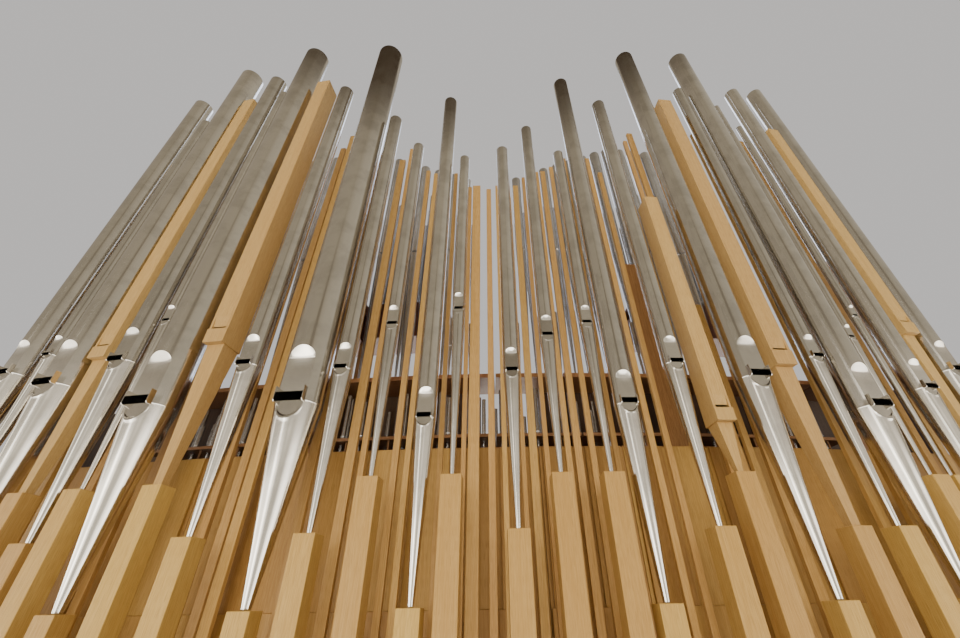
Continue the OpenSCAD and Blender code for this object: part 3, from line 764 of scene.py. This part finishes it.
# painted shade: the screens are near black, standing for the shade between the inner parts
screens_in_painted_shade = wood("screens_in_painted_shade", (0.10, 0.055, 0.03), (0.06, 0.032, 0.018))
inner_parts = ("inner_frame", "inner_screens", "raised_plank")
inner_parts += ("upper_windchest_left", "upper_windchest_right")
inner_woods = (inner_wood, screens_in_painted_shade, plank_wood, chest_in_painted_shade, chest_in_painted_shade)
planed(inner_parts, WALL_EDGE, inner_woods, INNER_SEED, "inner_wood")
rack_wood = wood("rack_wood", (0.36, 0.19, 0.085), (0.25, 0.12, 0.05), **LYING)
# painted shade: the upper racks are near black, standing for the shade under the rack boards
rack_in_painted_shade = wood("rack_in_painted_shade", (0.16, 0.06, 0.035), (0.10, 0.038, 0.022), **LYING)
finished(("lower_windchest", "lower_rack_board", "rack_pins"), rack_wood)
finished(("upper_rack_left", "upper_rack_right"), rack_in_painted_shade)

# Inner ranks
# Smaller tin pipes behind the front: tall ranks on the raised plank, ranks on the upper chests and rows
# of little pipes on the lower chest. Their metal is duller than that of the front.
inner_tin = tin("inner_tin", (0.60, 0.58, 0.56), 0.18, own_sheet=False)
ranks = ("second_rank_left", "second_rank_right", "small_pipes", "upper_rank_left", "upper_rank_right")
finished(ranks, inner_tin)

# Floor, light and camera
# A pale floor, two broad soft lights in front that no metal mirrors, and a plain pale surround. In the
# metal alone the surround shows as a room with bright bands, which draw the streaks on feet and lips.
floor_mesh = bpy.data.meshes.new("pale_floor")
floor_mesh.from_pydata([(-30, -30, 0), (30, -30, 0), (30, 30, 0), (-30, 30, 0)], [], [(0, 1, 2, 3)])
floor_material, floor_tree, floor_surface, floor_add = shader("pale_floor")
floor_place = floor_add("ShaderNodeTexCoord").outputs["Object"]
floor_noise = floor_add("ShaderNodeTexNoise", {"Vector": floor_place, "Scale": 0.8}).outputs["Fac"]
floor_tint = ramp(floor_add, floor_noise, ((0.3, (0.60, 0.57, 0.53)), (0.7, (0.63, 0.60, 0.56))))
floor_tree.links.new(floor_tint, floor_surface.inputs["Base Color"])
floor_surface.inputs["Roughness"].default_value = 0.7
floor_mesh.materials.append(floor_material)
floor = bpy.data.objects.new("pale_floor", floor_mesh)
floor.visible_glossy = False
scene.collection.objects.link(floor)


def soft_box(name, place, target, size, power, colour):
    """A rectangular soft light that faces a target and that no shiny surface mirrors."""
    data = bpy.data.lights.new(name, "AREA")
    data.shape = "RECTANGLE"
    data.size, data.size_y = size
    data.energy = power
    data.color = colour
    light = bpy.data.objects.new(name, data)
    light.location = place
    light.rotation_euler = (Vector(target) - Vector(place)).to_track_quat("-Z", "Y").to_euler()
    light.visible_glossy = False
    scene.collection.objects.link(light)


soft_box("broad_front", (0, -9.0, 3.0), (0, 0, 2.6), (12.0, 4.4), 860, (1.0, 0.90, 0.76))
soft_box("high_front", (-2.0, -9.0, 9.0), (0, 0, 3.0), (8.0, 3.0), 225, (1.0, 0.88, 0.72))

world = bpy.data.worlds.new("pale_surround")
world.use_nodes = True
tree = world.node_tree
add = adder(tree)


def ranged(value, start, end, low=0.0, high=1.0):
    """A value taken smoothly from one range to another."""
    settings = {"Value": value, "From Min": start, "From Max": end, "To Min": low, "To Max": high}
    return add("ShaderNodeMapRange", settings, interpolation_type="SMOOTHSTEP").outputs[0]


def product(*values):
    """Numbers multiplied together."""
    result = values[0]
    for value in values[1:]:
        result = add("ShaderNodeMath", {0: result, 1: value}, operation="MULTIPLY").outputs[0]
    return result


def painted(factor, below, above):
    """A colour that covers another as a factor rises."""
    inputs = {"Factor": factor}
    for key, value in ((6, below), (7, above)):
        inputs[key] = (*value, 1) if isinstance(value, tuple) else value
    return add("ShaderNodeMix", inputs, data_type="RGBA").outputs[2]


axes = add("ShaderNodeSeparateXYZ", {0: add("ShaderNodeTexCoord").outputs["Generated"]})
height = axes.outputs["Z"]
# the turn is 0.5 straight behind the camera, and 0 and 1 behind the organ, round the left and the right
backward = add("ShaderNodeMath", {0: axes.outputs["Y"], 1: -1.0}, operation="MULTIPLY").outputs[0]
turn = add("ShaderNodeMath", {0: axes.outputs["X"], 1: backward}, operation="ARCTAN2").outputs[0]
side = add("ShaderNodeMath", {0: turn, 1: 2 * math.pi}, operation="DIVIDE").outputs[0]
side = add("ShaderNodeMath", {0: side, 1: 0.5}).outputs[0]
across = add("ShaderNodeMath", {0: turn}, operation="ABSOLUTE").outputs[0]
across = add("ShaderNodeMath", {0: across, 1: math.pi}, operation="DIVIDE").outputs[0]
floor_room = ramp(
    add,
    side,
    (
        (0.0, (0.26, 0.21, 0.15)),
        (0.16, (0.45, 0.38, 0.28)),
        (0.22, (3.2, 3.05, 2.8)),
        (0.26, (8.5, 8.2, 7.6)),
        (0.30, (3.8, 3.6, 3.3)),
        (0.38, (3.4, 3.25, 2.95)),
        (0.42, (8.5, 8.2, 7.6)),
        (0.45, (3.4, 3.25, 2.95)),
        (0.50, (0.95, 0.88, 0.76)),
        (0.57, (0.90, 0.83, 0.71)),
        (0.62, (3.0, 2.85, 2.6)),
        (0.67, (4.6, 4.4, 4.05)),
        (0.75, (2.4, 2.25, 2.0)),
        (0.80, (0.48, 0.41, 0.31)),
        (1.0, (0.26, 0.21, 0.15)),
    ),
)
front_room = ramp(
    add,
    side,
    (
        (0.0, (0.26, 0.21, 0.15)),
        (0.20, (0.30, 0.25, 0.18)),
        (0.235, (1.4, 1.3, 1.15)),
        (0.255, (2.6, 2.45, 2.2)),
        (0.28, (0.80, 0.73, 0.62)),
        (0.395, (0.76, 0.69, 0.58)),
        (0.415, (5.0, 4.8, 4.4)),
        (0.43, (0.80, 0.73, 0.62)),
        (0.49, (0.85, 0.78, 0.67)),
        (0.52, (1.35, 1.26, 1.10)),
        (0.56, (0.95, 0.87, 0.75)),
        (0.68, (0.86, 0.78, 0.66)),
        (0.74, (0.44, 0.38, 0.29)),
        (0.79, (0.28, 0.23, 0.17)),
        (1.0, (0.26, 0.21, 0.15)),
    ),
)
high_room = ramp(
    add,
    side,
    (
        (0.0, (0.36, 0.32, 0.26)),
        (0.22, (0.38, 0.33, 0.26)),
        (0.50, (0.41, 0.36, 0.275)),
        (0.62, (0.50, 0.45, 0.36)),
        (0.80, (0.56, 0.51, 0.42)),
        (1.0, (0.36, 0.32, 0.26)),
    ),
)
lower = painted(ranged(height, 0.11, 0.03), front_room, floor_room)
lower = painted(ranged(height, -0.28, -0.36), lower, (6.0, 5.8, 5.4))
room = painted(ranged(height, 0.26, 0.36), lower, high_room)
# a dark wedge straight above the front, a dark ceiling and a window behind the organ
wedge = add("ShaderNodeMath", {0: turn, 1: 0.06}, operation="SUBTRACT").outputs[0]
wedge = add("ShaderNodeMath", {0: wedge}, operation="ABSOLUTE").outputs[0]
width = ranged(height, 0.45, 0.78, 0.16, 0.0)
wedge = add("ShaderNodeMath", {0: width, 1: wedge}, operation="SUBTRACT").outputs[0]
wedge = product(ranged(wedge, -0.04, 0.05), ranged(height, 0.30, 0.42))
room = painted(product(wedge, 0.6), room, (0.12, 0.09, 0.06))
ceiling = product(ranged(height, 0.82, 0.88), ranged(across, 0.80, 0.66))
room = painted(ceiling, room, (0.05, 0.032, 0.018))
window = product(ranged(across, 0.86, 0.90), ranged(height, 0.30, 0.36), ranged(height, 0.88, 0.82))
room = painted(window, room, (2.6, 2.9, 3.6))
# wood and floor are lit by an even warm surround, and the camera sees a plain pale one
seen = add("ShaderNodeLightPath")
room = painted(seen.outputs["Is Diffuse Ray"], room, (0.36, 0.315, 0.25))
room = painted(seen.outputs["Is Camera Ray"], room, (0.62, 0.60, 0.585))
tree.links.new(room, tree.nodes["Background"].inputs["Color"])
scene.world = world

EYE = Vector((0.0, -2.74, 1.6))
PITCH = math.radians(34.6)
ROLL = math.radians(1.04)
forward = Vector((0, math.cos(PITCH), math.sin(PITCH)))
level_up = Vector((0, -math.sin(PITCH), math.cos(PITCH)))
right = Vector((math.cos(ROLL), 0, 0)) - math.sin(ROLL) * level_up
up = Vector((math.sin(ROLL), 0, 0)) + math.cos(ROLL) * level_up
camera_data = bpy.data.cameras.new("camera")
camera_data.sensor_width = 36
camera_data.lens = 15.79
camera_data.shift_x = -0.0144
camera_data.clip_end = 100
camera = bpy.data.objects.new("camera", camera_data)
camera.matrix_world = Matrix((right, up, -forward)).transposed().to_4x4()
camera.location = EYE
scene.collection.objects.link(camera)
scene.camera = camera
